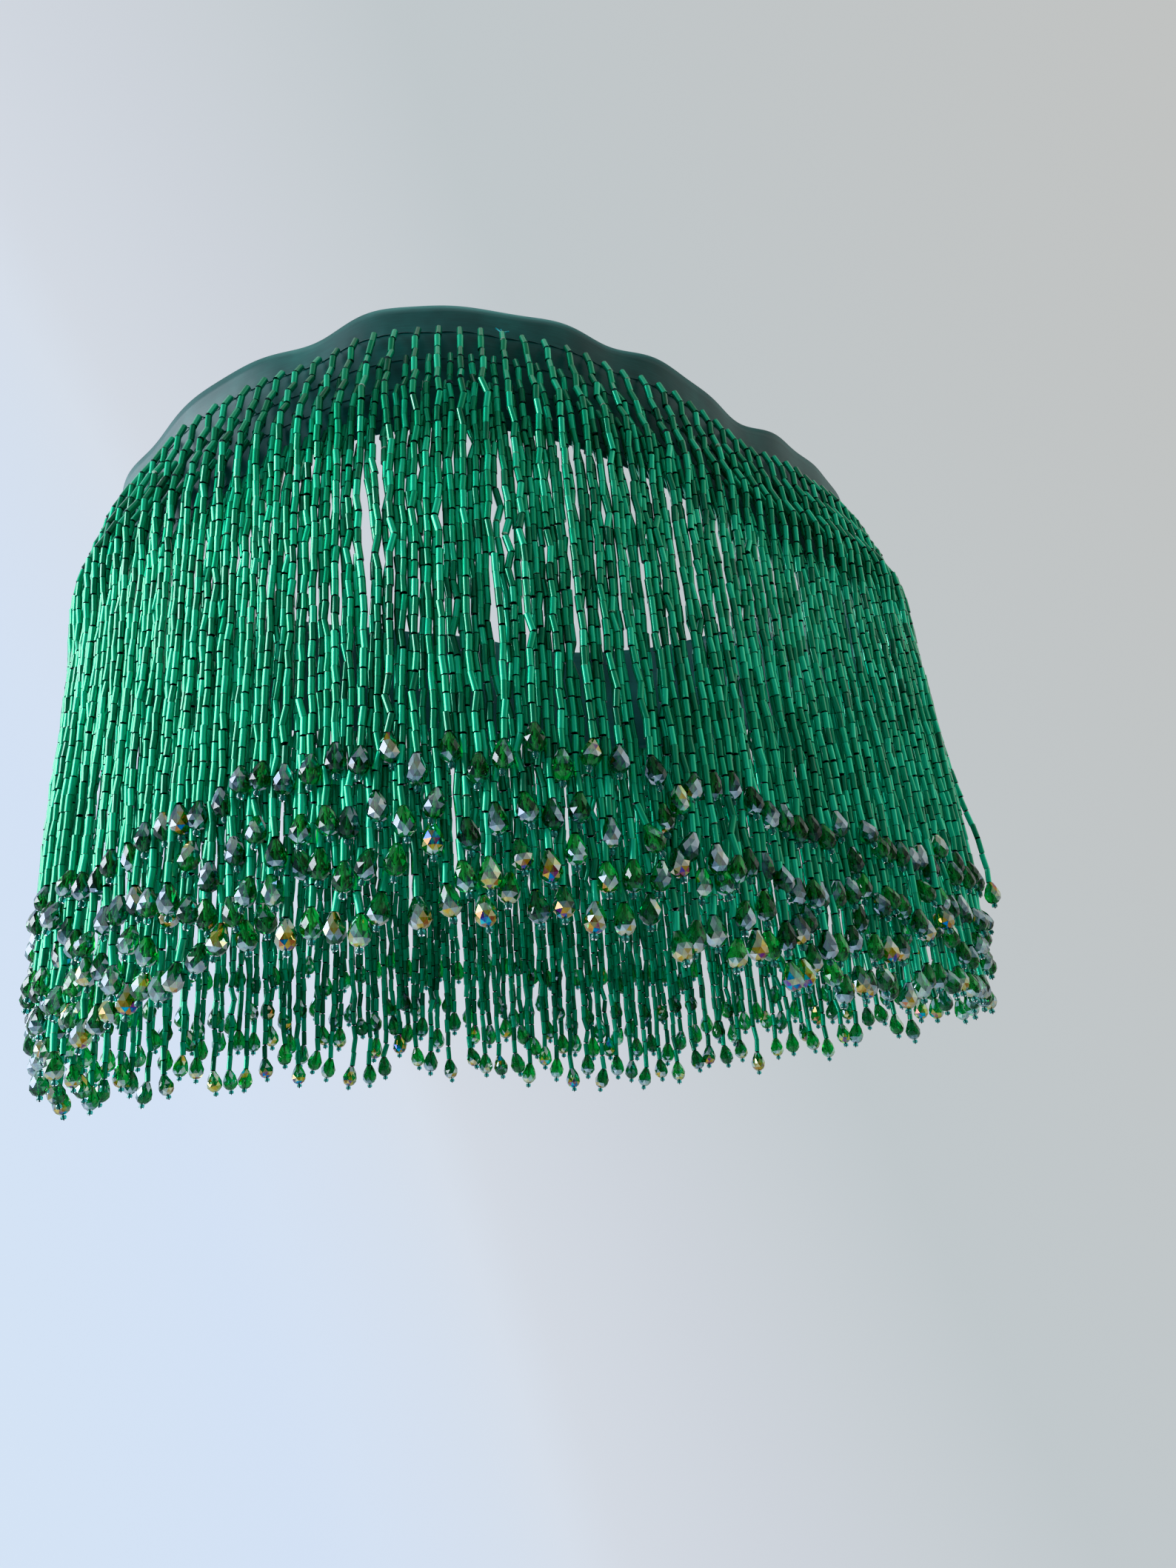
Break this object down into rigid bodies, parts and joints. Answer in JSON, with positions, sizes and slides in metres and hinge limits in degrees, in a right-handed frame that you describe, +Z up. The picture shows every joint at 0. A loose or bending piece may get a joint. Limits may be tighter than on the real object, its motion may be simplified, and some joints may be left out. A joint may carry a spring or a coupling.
{
  "type": "beaded fringe trim",
  "caption": "Satin ribbon tape worn as a ring round the hips, with sewn rows of glass bugle bead strands that end in drop crystals.",
  "frame": {"origin": "centre front of the tape's top edge, on the inner face that lies on the hips", "axes": "+X from the wearer's right to left along the ring's widest extent, +Y from front to back, +Z up"},
  "size_m": [0.3471, 0.2619, 0.2284],
  "materials": {
    "satin_ribbon": "dark teal-green satin ribbon, soft sheen",
    "glass_beads": "silver-lined emerald glass bugles and faceted green drop crystals with a rainbow coat"
  },
  "bodies": {
    "root": {"tape": "satin_ribbon", "fringe_row_1": "glass_beads", "fringe_row_2": "glass_beads", "fringe_row_3": "glass_beads", "fringe_row_4": "glass_beads"}
  },
  "joints": []
}
